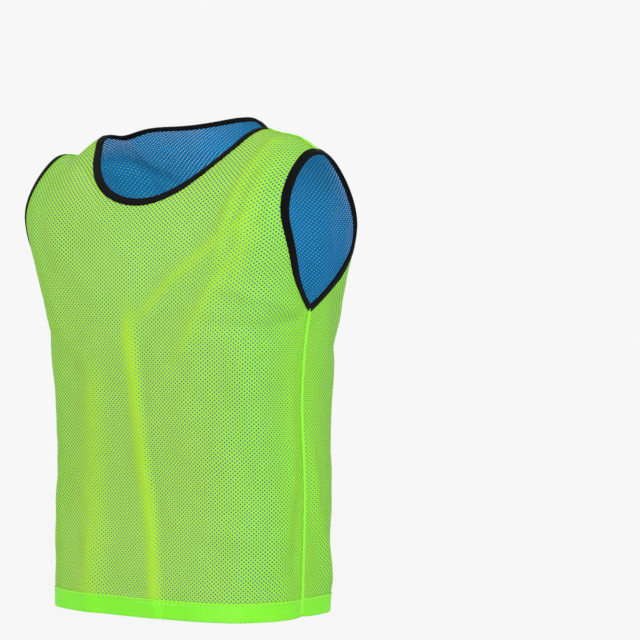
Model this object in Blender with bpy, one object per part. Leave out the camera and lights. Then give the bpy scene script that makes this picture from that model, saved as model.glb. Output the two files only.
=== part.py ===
# Mesh training bib: a sleeveless, reversible bib of two mesh layers, held out as when it is worn.
# Metres, +Z up. The wearer faces -Y and +X is the wearer's left.
# The origin lies midway between the two neck points, where the wearer's shoulders hold the bib up.

import bmesh
import bpy
import numpy as np

MM = 0.001

# The cut of a panel, as it lies flat
HALF_PANEL = 286 * MM          # centre line to side seam
BODY_DROP = 640 * MM           # neck point down to the hem
ARMPIT_UP = 411 * MM           # hem up to the bottom of the armhole
NECK_HALF = 115 * MM           # centre line to neck point
FRONT_NECK_DEEP = 167 * MM     # shoulder ridge down the cloth to the neck edge, at the centre
BACK_NECK_DEEP = 57 * MM
NECK_POWER = 2.08              # 2 is an ellipse, more is squarer
SHOULDER_TIP = 202 * MM        # centre line to the armhole at the shoulder
ARMHOLE_SEAM_RUN = 76 * MM     # the armhole leaves the side seam aslant, so its foot is pointed
ARMHOLE_SEAM_RISE = 48 * MM
ARMHOLE_TIP_RUN = 78 * MM      # how far it keeps upright below the shoulder
ARMHOLE_TIP_LEAN = 12 * MM
HEM_TALL = 24 * MM
BINDING_WIDE = 10 * MM

# The layers, from outside to inside
PANEL_THICK = 1.2 * MM
LINING_THICK = 1.0 * MM
GAP = 0.3 * MM                 # between layers and at every seam
PROUD = 0.5 * MM               # how far hems and bindings stand out from the panels

# How the shoulders hold the cloth out
SHOULDER_SLOPE = 0.46
SLOPE_ROUND = 30 * MM          # softens the ridge where the slope starts
BACK_NECK_RISE = 26 * MM       # the back of the neck stands higher than the neck points
BACK_NECK_TILT = 6 * MM        # and a little more towards the wearer's left
BACK_NECK_WAVE = 340 * MM      # length of that tilt's whole wave
ARCH_TALL = 90 * MM            # the cloth turns over the shoulders within this height
ARCH_FOOT = -120 * MM
RING_POWER = 3.2               # squareness of the sections
RING_BLEND = (-200 * MM, -100 * MM)
SHOULDER_LEAN = 0.034          # the wearer's left shoulder is a little lower than the right
LEAN_BLEND = (-300 * MM, -100 * MM)

# The shoulder ridge isn't quite level: soft bumps on it, in mm
RIDGE_BUMPS = [
    dict(across=-160, half_long=41, lift=-14),
    dict(across=166, half_long=36, lift=7),
    dict(across=110, half_long=52, lift=6),
]

# Sections through the worn cloth, from the hem up, in mm; aside is to the wearer's left
SECTIONS = [
    dict(height=-640, half_width=185, front=122, back=142, aside=3.0),
    dict(height=-480, half_width=190, front=107, back=134, aside=2.5),
    dict(height=-340, half_width=187, front=118, back=150, aside=1.0),
    dict(height=-230, half_width=202, front=125, back=154, aside=0.0),
    dict(height=-120, half_width=241, front=120, back=124, aside=0.0),
    dict(height=-20, half_width=270, front=68, back=82, aside=0.0),
]

# The largest folds, in mm on the flat panel: across from the centre line to the wearer's left,
# up from the hem. Each runs from its first place to its second, and rises out of the cloth.
FOLDS = [
    dict(side="front", across=0, up=340, to_across=55, to_up=35, half_wide=18, rise=6.0),
    dict(side="front", across=-75, up=270, to_across=-85, to_up=40, half_wide=26, rise=5.0),
    dict(side="front", across=148, up=620, to_across=40, to_up=415, half_wide=16, rise=4.0),
    dict(side="front", across=160, up=575, to_across=100, to_up=376, half_wide=18, rise=3.5),
    dict(side="front", across=255, up=390, to_across=160, to_up=380, half_wide=16, rise=-4.0),
    dict(side="front", across=124, up=400, to_across=175, to_up=315, half_wide=26, rise=3.5),
    dict(side="front", across=160, up=260, to_across=205, to_up=130, half_wide=24, rise=-3.0),
    dict(side="front", across=150, up=110, to_across=245, to_up=45, half_wide=20, rise=5.0),
    dict(side="front", across=-215, up=400, to_across=-130, to_up=330, half_wide=18, rise=-4.0),
    dict(side="front", across=-253, up=190, to_across=-236, to_up=40, half_wide=14, rise=4.0),
    dict(side="back", across=-140, up=620, to_across=-70, to_up=450, half_wide=26, rise=5.0),
    dict(side="back", across=-135, up=500, to_across=-92, to_up=340, half_wide=28, rise=4.0),
    dict(side="back", across=-171, up=626, to_across=-60, to_up=560, half_wide=14, rise=4.0),
    dict(side="back", across=-257, up=308, to_across=-145, to_up=154, half_wide=18, rise=-5.0),
    dict(side="back", across=76, up=70, to_across=-43, to_up=48, half_wide=22, rise=-5.0),
    dict(side="back", across=262, up=260, to_across=221, to_up=60, half_wide=20, rise=5.0),
    dict(side="back", across=150, up=560, to_across=60, to_up=380, half_wide=24, rise=4.0),
    dict(side="back", across=60, up=250, to_across=130, to_up=60, half_wide=24, rise=4.0),
]
FOLD_FADE = 45 * MM            # a fold dies out over this length past its ends
EDGE_CALM = 30 * MM            # no fold reaches an edge or a seam

# How finely the cloth is divided
NECK_STEPS = 16
SHOULDER_STEPS = 4
BODY_STEPS = 11
ARMHOLE_STEPS = 13
HEM_STEPS = 1

# Colours, as linear red, green and blue
GREEN_MESH = (0.20, 0.83, 0.03)
GREEN_HEM = (0.16, 0.92, 0.03)
BLUE_MESH = (0.01, 0.27, 0.52)
BLACK_TAPE = (0.008, 0.008, 0.011)


def smooth_step(value):
    value = np.clip(value, 0.0, 1.0)
    return value * value * (3.0 - 2.0 * value)


def through_sections(column, height):
    """A smooth curve through one column of the section table."""
    heights = np.array([row["height"] * MM for row in SECTIONS])
    values = np.array([row[column] * MM for row in SECTIONS])
    slopes = np.gradient(values, heights)
    height = np.clip(height, heights[0], heights[-1])
    low = np.clip(np.searchsorted(heights, height) - 1, 0, len(heights) - 2)
    span = heights[low + 1] - heights[low]
    part = (height - heights[low]) / span
    start = (2 * part ** 3 - 3 * part ** 2 + 1) * values[low]
    end = (3 * part ** 2 - 2 * part ** 3) * values[low + 1]
    lean_in = (part ** 3 - 2 * part ** 2 + part) * span * slopes[low]
    lean_out = (part ** 3 - part ** 2) * span * slopes[low + 1]
    return start + end + lean_in + lean_out


# A quarter of a section is a superellipse of half width 1. For each aspect, depth over half
# width, these tables hold its length and the places at even steps along it.
ASPECTS = np.linspace(0.0, 1.2, 31)
RING_STEPS = 161


def ring_tables():
    turn = 0.5 * np.pi * np.sin(np.linspace(0, 0.5 * np.pi, 600)) ** 2
    across = np.sin(turn) ** (2 / RING_POWER)
    deep = np.cos(turn) ** (2 / RING_POWER)
    lengths, across_rows, deep_rows = [], [], []
    for aspect in ASPECTS:
        pieces = np.hypot(np.diff(across), aspect * np.diff(deep))
        walked = np.concatenate([[0.0], np.cumsum(pieces)])
        steps = np.linspace(0.0, walked[-1], RING_STEPS)
        lengths.append(walked[-1])
        across_rows.append(np.interp(steps, walked, across))
        deep_rows.append(np.interp(steps, walked, deep))
    return np.array(lengths), np.array(across_rows), np.array(deep_rows)


RING_LENGTHS, RING_ACROSS, RING_DEEP = ring_tables()


def ring_length(aspect):
    return np.interp(aspect, ASPECTS, RING_LENGTHS)


def ring_place(walk, aspect):
    """The place on the quarter section after a walk along it, both in half widths."""
    row = np.clip(aspect / ASPECTS[-1] * (len(ASPECTS) - 1), 0, len(ASPECTS) - 1.001)
    top = row.astype(int)
    row_part = row - top
    step = np.clip(np.abs(walk) / ring_length(aspect), 0, 1) * (RING_STEPS - 1.001)
    left = step.astype(int)
    step_part = step - left
    places = []
    for table in (RING_ACROSS, RING_DEEP):
        upper = table[top, left] * (1 - step_part) + table[top, left + 1] * step_part
        lower = table[top + 1, left] * (1 - step_part) + table[top + 1, left + 1] * step_part
        places.append(upper * (1 - row_part) + lower * row_part)
    return places


def facing(side):
    return -1.0 if side == "front" else 1.0


def ridge_height(across, side):
    """Height of the shoulder ridge over a place of the panel."""
    past_neck = np.maximum(np.abs(across) - NECK_HALF, 0.0)
    ridge = -SHOULDER_SLOPE * (np.hypot(past_neck, SLOPE_ROUND) - SLOPE_ROUND)
    for bump in RIDGE_BUMPS:
        near = np.clip((across / MM - bump["across"]) / bump["half_long"], -1, 1)
        ridge = ridge + 0.5 * bump["lift"] * MM * (1 + np.cos(np.pi * near))
    if side == "back":
        rise = BACK_NECK_RISE + BACK_NECK_TILT * np.sin(2 * np.pi * across / BACK_NECK_WAVE)
        ridge = ridge + rise * np.clip(1 - (across / NECK_HALF) ** 6, 0, 1) ** 2
    return ridge


TOP_WALK = through_sections("half_width", ARCH_FOOT) * ring_length(
    through_sections("front", ARCH_FOOT) / through_sections("half_width", ARCH_FOOT)) / HALF_PANEL
TURNS = np.linspace(0.0, 0.5 * np.pi, 25)


def arch_walks(across, side):
    """Length of cloth over the shoulder arch, at each turn of it, for places of the panel."""
    half_width = through_sections("half_width", ARCH_FOOT)
    depth = through_sections(side, ARCH_FOOT)
    walk = np.abs(across) * TOP_WALK / half_width
    deep = ring_place(walk, np.full(across.shape, depth / half_width))[1] * depth
    out = np.sin(TURNS)[:, None] * deep[None, :]
    down = (1 - np.cos(TURNS))[:, None] * ARCH_TALL + 0.0 * out
    pieces = np.hypot(np.diff(out, axis=0), np.diff(down, axis=0))
    return np.vstack([np.zeros(across.size), np.cumsum(pieces, axis=0)])


def cloth_height(across, side):
    """Length of cloth from the hem up to the shoulder ridge."""
    across = np.atleast_1d(np.asarray(across, float))
    return arch_walks(across, side)[-1] + ridge_height(across, side) - ARCH_TALL + BODY_DROP


def worn_point(across, down, side):
    """Where a place of the flat panel is when worn; down is measured from the shoulder ridge."""
    walks = arch_walks(across, side)
    turn = np.array([np.interp(d, walks[:, i], TURNS) for i, d in enumerate(down)])
    hang = np.maximum(down - walks[-1], 0.0)
    height = ridge_height(across, side) - ARCH_TALL * (1 - np.cos(turn)) - hang
    half_width = through_sections("half_width", height)
    depth = through_sections(side, height)
    own_walk = half_width * ring_length(depth / half_width) / HALF_PANEL
    blend = smooth_step((height - RING_BLEND[0]) / (RING_BLEND[1] - RING_BLEND[0]))
    walk = np.abs(across) * (own_walk * (1 - blend) + TOP_WALK * blend) / half_width
    depth = depth * np.sin(turn)
    ring_across, ring_deep = ring_place(walk, depth / half_width)
    x = half_width * ring_across * np.sign(across) + through_sections("aside", height)
    leaning = smooth_step((height - LEAN_BLEND[0]) / (LEAN_BLEND[1] - LEAN_BLEND[0]))
    height = height - SHOULDER_LEAN * x * leaning
    return np.stack([x, facing(side) * depth * ring_deep, height], axis=-1)


def outward(across, down, side):
    """Direction out of the cloth at places of the panel."""
    step = 1.5 * MM
    right = np.minimum(across + step, HALF_PANEL)
    left = np.maximum(across - step, -HALF_PANEL)
    over = np.maximum(down - step, 0.0)
    along = worn_point(right, down, side) - worn_point(left, down, side)
    up = worn_point(across, over, side) - worn_point(across, down + step, side)
    normal = np.cross(along, up) * -facing(side)
    return normal / np.linalg.norm(normal, axis=-1, keepdims=True)


def neck_edge(turns, inset, side):
    """Neck edge of the flat panel, from the wearer's right to left, or a line inset from it."""
    deep = FRONT_NECK_DEEP if side == "front" else BACK_NECK_DEEP
    sine, cosine = np.sin(turns), np.clip(np.cos(turns), 0, 1)
    across = (NECK_HALF + inset) * np.sign(sine) * np.abs(sine) ** (2 / NECK_POWER)
    down = (deep + inset) * cosine ** (2 / NECK_POWER)
    return across, down


def armhole_edge(parts, inset, side):
    """Left armhole edge of the flat panel, from the side seam up, or a line inset from it."""
    tip_up = cloth_height(SHOULDER_TIP, side)[0]
    corners = np.array([
        [HALF_PANEL, ARMPIT_UP],
        [HALF_PANEL - ARMHOLE_SEAM_RUN, ARMPIT_UP + ARMHOLE_SEAM_RISE],
        [SHOULDER_TIP - ARMHOLE_TIP_LEAN, tip_up - ARMHOLE_TIP_RUN],
        [SHOULDER_TIP, tip_up],
    ])
    p = np.atleast_1d(parts)[:, None]
    curve = ((1 - p) ** 3 * corners[0] + 3 * (1 - p) ** 2 * p * corners[1]
             + 3 * (1 - p) * p ** 2 * corners[2] + p ** 3 * corners[3])
    heading = ((1 - p) ** 2 * (corners[1] - corners[0]) + 2 * (1 - p) * p * (corners[2] - corners[1])
               + p ** 2 * (corners[3] - corners[2]))
    heading = heading / np.linalg.norm(heading, axis=1, keepdims=True)
    # the inset is square to the curve, but runs down the side seam at the foot and along the
    # shoulder ridge at the tip
    square = np.stack([-heading[:, 1], heading[:, 0]], axis=1)
    at_foot = 1 - smooth_step(p / 0.25)
    square = square * (1 - at_foot) + np.array([0.0, -1.1]) * at_foot
    along_ridge = np.array([-inset, cloth_height(SHOULDER_TIP - inset, side)[0] - tip_up])
    turned = smooth_step((p - 0.6) / 0.4)
    curve = curve + inset * square * (1 - turned) + along_ridge * turned
    return np.minimum(curve[:, 0], HALF_PANEL), curve[:, 1]


def edge_distance(across, up, side):
    """Rough distance on the flat panel to its nearest seam or bound edge."""
    ridge = cloth_height(across, side)
    nearest = np.minimum(HALF_PANEL - np.abs(across), ridge - up)
    neck_across, neck_down = neck_edge(np.linspace(-0.5 * np.pi, 0.5 * np.pi, 40), 0.0, side)
    neck_up = cloth_height(neck_across, side) - neck_down
    arm_across, arm_up = armhole_edge(np.linspace(0, 1, 30), 0.0, side)
    for edge_across, edge_up in ((neck_across, neck_up), (arm_across, arm_up), (-arm_across, arm_up)):
        away = np.hypot(across[:, None] - edge_across[None, :], up[:, None] - edge_up[None, :])
        nearest = np.minimum(nearest, away.min(axis=1))
    return np.maximum(nearest, 0.0)


def fold_rise(across, up, side):
    """How far the folds lift the cloth."""
    total = np.zeros_like(across)
    for fold in FOLDS:
        if fold["side"] != side:
            continue
        start = np.array([fold["across"], fold["up"]]) * MM
        end = np.array([fold["to_across"], fold["to_up"]]) * MM
        length = np.linalg.norm(end - start)
        way = (end - start) / length
        along = (across - start[0]) * way[0] + (up - start[1]) * way[1]
        aside = (across - start[0]) * way[1] - (up - start[1]) * way[0]
        past = np.maximum(np.maximum(-along, along - length), 0.0)
        spread = (aside / (fold["half_wide"] * MM)) ** 2 + (past / FOLD_FADE) ** 2
        total += fold["rise"] * MM * np.exp(-spread)
    return total * smooth_step(edge_distance(across, up, side) / EDGE_CALM)


def cloth_points(across, up, side, out):
    """Places on a layer of the worn cloth, out from the panel's outer face, for grids of places."""
    shape = np.shape(across)
    across, up = np.ravel(across), np.ravel(up)
    down = np.maximum(cloth_height(across, side) - up, 0.0)
    rise = fold_rise(across, up, side) + out
    points = worn_point(across, down, side) + outward(across, down, side) * rise[:, None]
    return points.reshape(shape + (3,))


def panel_grid(side):
    """Places of the panel between hem, side seams, shoulders, neck and armholes."""
    inset = BINDING_WIDE + GAP
    seam = HALF_PANEL - 0.5 * GAP
    parts = np.linspace(0, 1, ARMHOLE_STEPS + 1)
    arm_across, arm_up = armhole_edge(parts, inset, side)
    tip_across = arm_across[-1]
    tip_up = cloth_height(tip_across, side)[0] - 0.5 * GAP
    arm_up[-1] = tip_up
    body_up = np.linspace(HEM_TALL, arm_up[0], BODY_STEPS + 1)[:-1]
    edge_across = np.concatenate([np.full(BODY_STEPS, seam), np.minimum(arm_across, seam)])
    edge_up = np.concatenate([body_up, arm_up]) - HEM_TALL
    armpit_part = edge_up[BODY_STEPS] / edge_up[-1]
    part_up = np.concatenate([edge_up[:BODY_STEPS] / edge_up[-1], armpit_part + (1 - armpit_part) * parts])

    turns = np.linspace(-0.5 * np.pi, 0.5 * np.pi, NECK_STEPS + 1)
    neck_across, neck_down = neck_edge(turns, inset, side)
    neck_down = np.maximum(neck_down, 0.5 * GAP)
    shoulder = np.linspace(neck_across[-1], tip_across, SHOULDER_STEPS + 1)[1:]
    top_across = np.concatenate([-shoulder[::-1], neck_across, shoulder])
    shoulder_down = np.full(SHOULDER_STEPS, 0.5 * GAP)
    top_down = np.concatenate([shoulder_down, neck_down, shoulder_down])
    top_up = cloth_height(top_across, side) - top_down - HEM_TALL
    even = np.linspace(-1, 1, len(top_across))

    # columns are even at the hem; further up they follow the neck edge, and the armholes push only
    # the outer ones aside
    share = smooth_step(part_up)[:, None]
    top_column = (top_across / tip_across)[None, :]
    squeeze = np.abs(top_column) ** (2 + 8 * part_up[:, None] ** 4) * np.sign(top_column)
    top_shape = top_column * tip_across + squeeze * (edge_across[:, None] - tip_across)
    across = even[None, :] * edge_across[:, None] * (1 - share) + top_shape * share
    part_up = part_up[:, None]
    lift = edge_up[:, None] - part_up * edge_up[-1]
    up = HEM_TALL + part_up * edge_up[-1] + part_up ** 3 * (top_up - edge_up[-1])[None, :]
    up = up + (across / edge_across[:, None]) ** 2 * lift
    up[-1] = top_up + HEM_TALL
    return across, up


def hem_grid(low, high):
    """Places of a band along the hem, on the same columns as the panels."""
    columns = NECK_STEPS + 2 * SHOULDER_STEPS + 1
    across = np.linspace(-1, 1, columns) * (HALF_PANEL - 0.5 * GAP)
    up = np.linspace(low, high, HEM_STEPS + 1)
    return np.tile(across, (len(up), 1)), np.tile(up[:, None], (1, columns))


def new_object(name, points, faces, material, collection):
    shape = bmesh.new()
    corners = [shape.verts.new(point) for point in points]
    for face in faces:
        shape.faces.new([corners[i] for i in face])
    bmesh.ops.recalc_face_normals(shape, faces=shape.faces)
    mesh = bpy.data.meshes.new(name)
    shape.to_mesh(mesh)
    shape.free()
    mesh.materials.append(material)
    mesh.shade_smooth()
    mesh.set_sharp_from_angle(angle=np.radians(50))
    thing = bpy.data.objects.new(name, mesh)
    collection.objects.link(thing)
    return thing


def wall(name, outer, inner, material, collection):
    """A cloth wall between two grids of points, closed round its edges."""
    rows, columns = outer.shape[:2]
    points = np.concatenate([outer.reshape(-1, 3), inner.reshape(-1, 3)])
    under = rows * columns
    faces = []
    for r in range(rows - 1):
        for c in range(columns - 1):
            a, b = r * columns + c, r * columns + c + 1
            d, e = a + columns, b + columns
            # the two halves of a panel are split in mirror image
            halves = [(a, b, e), (a, e, d)] if 2 * c >= columns - 1 else [(a, b, d), (b, e, d)]
            faces += halves
            faces += [tuple(under + corner for corner in half[::-1]) for half in halves]
    rim = list(range(columns))
    rim += [r * columns + columns - 1 for r in range(1, rows)]
    rim += [(rows - 1) * columns + c for c in range(columns - 2, -1, -1)]
    rim += [r * columns for r in range(rows - 2, 0, -1)]
    for a, b in zip(rim, rim[1:] + rim[:1]):
        faces.append((a, under + a, under + b, b))
    return new_object(name, points, faces, material, collection)


def loop_of_sections(name, sections, material, collection):
    """A band that closes on itself, through like sections."""
    count, around = sections.shape[:2]
    faces = []
    for s in range(count):
        ahead = (s + 1) % count
        for k in range(around):
            n = (k + 1) % around
            faces.append((s * around + k, s * around + n, ahead * around + n, ahead * around + k))
    return new_object(name, sections.reshape(-1, 3), faces, material, collection)


def binding_profile():
    """Section of a folded tape over the cloth's edge: inset from the fold, and out of the cloth."""
    outside = PROUD
    inside = -(PANEL_THICK + GAP + LINING_THICK + PROUD)
    middle = 0.5 * (outside + inside)
    soft = 1.2 * MM
    return [
        (BINDING_WIDE, outside - 0.4 * MM), (BINDING_WIDE - soft, outside), (soft, outside),
        (0.0, middle + 0.6 * soft), (0.0, middle - 0.6 * soft), (soft, inside),
        (BINDING_WIDE - soft, inside), (BINDING_WIDE, inside + 0.4 * MM),
    ]


def neck_sections():
    turns = np.linspace(-0.5 * np.pi, 0.5 * np.pi, NECK_STEPS + 1)
    sections = []
    for inset, out in binding_profile():
        runs = []
        for side, way in (("front", turns), ("back", turns[-2:0:-1])):
            across, down = neck_edge(way, inset, side)
            runs.append(cloth_points(across, cloth_height(across, side) - down, side, out))
        sections.append(np.concatenate(runs))
    return np.stack(sections, axis=1)


def armhole_sections(hand):
    parts = np.linspace(0, 1, ARMHOLE_STEPS + 1)
    sections = []
    for inset, out in binding_profile():
        runs = []
        for side, way in (("front", parts), ("back", parts[-2:0:-1])):
            across, up = armhole_edge(way, inset, side)
            runs.append(cloth_points(across * hand, up, side, out))
        sections.append(np.concatenate(runs))
    return np.stack(sections, axis=1)


def cloth_material(name, colour, roughness):
    material = bpy.data.materials.new(name)
    material.use_nodes = True
    shader = material.node_tree.nodes["Principled BSDF"]
    shader.inputs["Base Color"].default_value = (*colour, 1.0)
    shader.inputs["Roughness"].default_value = roughness
    shader.inputs["Metallic"].default_value = 0.0
    material.diffuse_color = (*colour, 1.0)
    return material


def build():
    for old in list(bpy.data.objects):
        bpy.data.objects.remove(old, do_unlink=True)
    bib = bpy.data.collections.new("Mesh training bib")
    bpy.context.scene.collection.children.link(bib)
    green = cloth_material("green_mesh", GREEN_MESH, 0.55)
    hem_green = cloth_material("green_hem", GREEN_HEM, 0.50)
    blue = cloth_material("blue_mesh", BLUE_MESH, 0.55)
    black = cloth_material("black_tape", BLACK_TAPE, 0.70)

    under_panel = -(PANEL_THICK + GAP)
    for side in ("front", "back"):
        across, up = panel_grid(side)
        outer = cloth_points(across, up, side, 0.0)
        inner = cloth_points(across, up, side, -PANEL_THICK)
        wall(side + "_panel", outer, inner, green, bib)

        band_across, band_up = hem_grid(0.0, HEM_TALL - GAP)
        outer = cloth_points(band_across, band_up, side, PROUD)
        inner = cloth_points(band_across, band_up, side, -PANEL_THICK)
        wall(side + "_hem", outer, inner, hem_green, bib)

        # the lining lies behind the hem and the panel, on the same columns
        across = np.vstack([band_across[:1], across])
        up = np.vstack([band_up[:1], up])
        outer = cloth_points(across, up, side, under_panel)
        inner = cloth_points(across, up, side, under_panel - LINING_THICK)
        wall(side + "_lining", outer, inner, blue, bib)

    loop_of_sections("neck_binding", neck_sections(), black, bib)
    loop_of_sections("left_armhole_binding", armhole_sections(1.0), black, bib)
    loop_of_sections("right_armhole_binding", armhole_sections(-1.0), black, bib)


build()
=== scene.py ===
import math

import bpy
import numpy as np
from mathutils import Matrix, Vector


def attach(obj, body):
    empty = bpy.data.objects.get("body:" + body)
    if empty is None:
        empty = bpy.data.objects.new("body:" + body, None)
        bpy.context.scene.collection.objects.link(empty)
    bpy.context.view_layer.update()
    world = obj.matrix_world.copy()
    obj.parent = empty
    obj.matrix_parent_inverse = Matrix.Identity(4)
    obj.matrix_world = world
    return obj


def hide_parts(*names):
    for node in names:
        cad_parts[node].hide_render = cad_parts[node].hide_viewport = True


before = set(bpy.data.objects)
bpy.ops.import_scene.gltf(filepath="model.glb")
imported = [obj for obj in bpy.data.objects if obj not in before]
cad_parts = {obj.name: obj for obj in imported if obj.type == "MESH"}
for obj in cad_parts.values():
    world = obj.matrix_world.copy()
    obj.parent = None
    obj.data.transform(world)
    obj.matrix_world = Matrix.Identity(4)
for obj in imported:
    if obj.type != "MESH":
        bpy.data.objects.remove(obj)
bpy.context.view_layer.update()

# Mesh training bib: a green net outside and a blue net inside, with real holes, black
# binding round neck and armholes, and a turned hem. Metres, +Z up, the wearer faces -Y.
mm = 0.001

cut = {  # the flat panel
    "halfPanel": 286 * mm,       # centre line to side seam
    "bodyDrop": 640 * mm,        # neck point down to the hem
    "armpitUp": 411 * mm,        # hem up to the bottom of the armhole
    "neckHalf": 115 * mm,
    "neckDeep": {"front": 167 * mm, "back": 57 * mm},
    "neckPower": 2.08,
    "shoulderTip": 202 * mm,
    "armholeSeamRun": 76 * mm,
    "armholeSeamRise": 48 * mm,
    "armholeTipRun": 78 * mm,
    "armholeTipLean": 12 * mm,
    "armholeFoot": 0.25,         # the share of the curve where the tape turns down to the seam
    "armholeFootDrop": 1.1,
    "armholeTip": 0.6,           # and where it starts to turn along the shoulder seam
    "hemTall": 24 * mm,
    "bindingWide": 10 * mm,
}

worn = {  # how the cloth is held out
    "shoulderSlope": 0.46,
    "slopeRound": 30 * mm,
    "backNeckRise": 26 * mm,
    "backNeckTilt": 6 * mm,
    "backNeckWave": 340 * mm,
    "archTall": 90 * mm,
    "archFoot": -120 * mm,
    "ringPower": 3.2,
    "ringBlend": (-200 * mm, -100 * mm),
    "shoulderLean": 0.034,
    "leanBlend": (-300 * mm, -100 * mm),
}

bodySections = [  # from the hem up, in mm
    {"height": -640, "halfWidth": 185, "front": 122, "back": 142, "aside": 3.0},
    {"height": -480, "halfWidth": 190, "front": 107, "back": 134, "aside": 2.5},
    {"height": -340, "halfWidth": 187, "front": 118, "back": 150, "aside": 1.0},
    {"height": -230, "halfWidth": 202, "front": 125, "back": 154, "aside": 0.0},
    {"height": -120, "halfWidth": 241, "front": 120, "back": 124, "aside": 0.0},
    {"height": -20, "halfWidth": 270, "front": 68, "back": 82, "aside": 0.0},
]

ridgeBumps = [  # the shoulder ridge isn't quite level, in mm
    {"across": -160, "halfLong": 41, "lift": -14},
    {"across": 166, "halfLong": 36, "lift": 7},
    {"across": 110, "halfLong": 52, "lift": 6},
]

# Folds and creases on the flat panel, in mm: across to the wearer's left, up from the hem.
# Each runs from its first place through its middle to its last and lifts the cloth by rise,
# which dies away over wide on both sides, or over wide times lee on the wearer's right of a
# fold that runs down. Where the cloth is drawn, shut narrows the green net's holes.
foldRows = {"front": [
    {"run": ((2, 355), (12, 190), (38, 30)), "wide": 9, "lee": 4.4, "rise": 7.0, "shut": 0.6},
    {"run": ((-75, 285), (-90, 150), (-83, 35)), "wide": 22, "rise": 7.0, "shut": 0.25},
    {"run": ((148, 625), (132, 500), (38, 412)), "wide": 10, "rise": 5.0, "shut": 0.25},
    {"run": ((163, 580), (156, 480), (100, 376)), "wide": 11, "rise": 4.5, "shut": 0.2},
    {"run": ((187, 545), (186, 500), (186, 462)), "wide": 12, "rise": 3.0},
    {"run": ((258, 390), (210, 375), (158, 380)), "wide": 13, "rise": -5.5},
    {"run": ((255, 398), (222, 412), (172, 424)), "wide": 10, "rise": 4.0},
    {"run": ((124, 402), (170, 345), (176, 313)), "wide": 24, "rise": 3.5},
    {"run": ((172, 300), (158, 268), (139, 235)), "wide": 20, "rise": 2.0},
    {"run": ((163, 262), (183, 183), (206, 118)), "wide": 22, "rise": -3.0},
    {"run": ((150, 112), (205, 104), (250, 38)), "wide": 18, "rise": 5.0},
    {"run": ((-215, 405), (-180, 360), (-130, 330)), "wide": 18, "rise": -4.0},
    {"run": ((-150, 560), (-120, 480), (-60, 425)), "wide": 15, "rise": 3.0},
    {"run": ((-175, 560), (-168, 490), (-150, 430)), "wide": 13, "rise": 2.5},
    {"run": ((-253, 190), (-246, 110), (-236, 40)), "wide": 14, "rise": 4.0},
    {"run": ((-160, 250), (-172, 150), (-160, 60)), "wide": 22, "rise": 3.0},
    {"run": ((-30, 430), (-34, 340), (-50, 250)), "wide": 28, "rise": 2.5},
    {"run": ((60, 300), (95, 200), (110, 60)), "wide": 26, "rise": 2.2},
    {"run": ((262, 330), (262, 230), (250, 130)), "wide": 12, "rise": 2.0},
], "back": [
    {"run": ((-140, 620), (-108, 530), (-70, 440)), "wide": 22, "rise": 7.0},
    {"run": ((-135, 500), (-92, 400), (-104, 290)), "wide": 22, "rise": 6.5},
    {"run": ((-171, 626), (-133, 604), (-60, 560)), "wide": 13, "rise": 4.0},
    {"run": ((-257, 308), (-200, 224), (-145, 154)), "wide": 16, "rise": -7.0},
    {"run": ((-250, 330), (-222, 270), (-190, 235)), "wide": 14, "rise": 2.5},
    {"run": ((80, 72), (20, 52), (-48, 48)), "wide": 18, "rise": -6.5},
    {"run": ((-245, 150), (-238, 122), (-226, 90)), "wide": 16, "rise": 3.0},
    {"run": ((284, 240), (254, 130), (221, 64)), "wide": 16, "rise": 7.0},
    {"run": ((150, 560), (120, 460), (60, 380)), "wide": 19, "rise": 6.0},
    {"run": ((172, 540), (168, 470), (140, 400)), "wide": 14, "rise": 2.5},
    {"run": ((60, 250), (82, 150), (130, 60)), "wide": 18, "rise": 6.5},
    {"run": ((-20, 330), (-34, 220), (-20, 110)), "wide": 24, "rise": 4.5},
    {"run": ((215, 400), (170, 350), (120, 330)), "wide": 16, "rise": -5.0},
]}
foldEnds = 42 * mm      # a fold dies out over this length past its ends
edgeCalm = 28 * mm      # and sinks towards seams and bound edges

layers = {  # out from the panel's face
    "greenOut": -0.45 * mm,
    "blueOut": -1.15 * mm,
    "hemOut": 0.5 * mm,
    "hemUnder": -0.9 * mm,
}

hem = {
    "underTall": 22 * mm,                  # turned up behind
    "lap": 0.6 * mm,                       # the face reaches this far above its seam
    "sunk": 0.45 * mm,                     # its sewn top edge lies down onto the panel
    "sinkRun": 1.2 * mm,
    "clear": 0.1 * mm,
    "pitch": (0.97, 0.98),                 # its cells against the panels'
    "shift": (0.7 * mm, 0.4 * mm),
    "warp": 0.5 * mm,
    "holeRadius": 0.72 * mm,
    "innerShare": 0.55,                    # holes of the leaf behind, against those of the face
    "cornerLift": (9.0 * mm, 2.0 * mm),    # at the wearer's right and left side seams
    "cornerPower": 22,
    "mapSpan": 0.6,
}

net = {  # a knitted net: two staggered holes in each cell
    "cellWide": 6.6 * mm,
    "cellTall": 5.3 * mm,
    "holeAngles": (0.0, 63.4, 116.6, 180.0, 243.4, 296.6),
    "seamShut": 0.22,              # how much narrower the holes are by the side seams
    "seamReach": (205 * mm, 275 * mm),
    "warp": 0.9 * mm,
    "margin": 12 * mm,             # cells laid past the outline before it is cut
    "bound": 3 * mm,               # the net ends this far inside the bindings
}


# the worn form, from places of the flat panel
def smoothStep(value):
    value = np.clip(value, 0.0, 1.0)
    return value * value * (3.0 - 2.0 * value)


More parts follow.
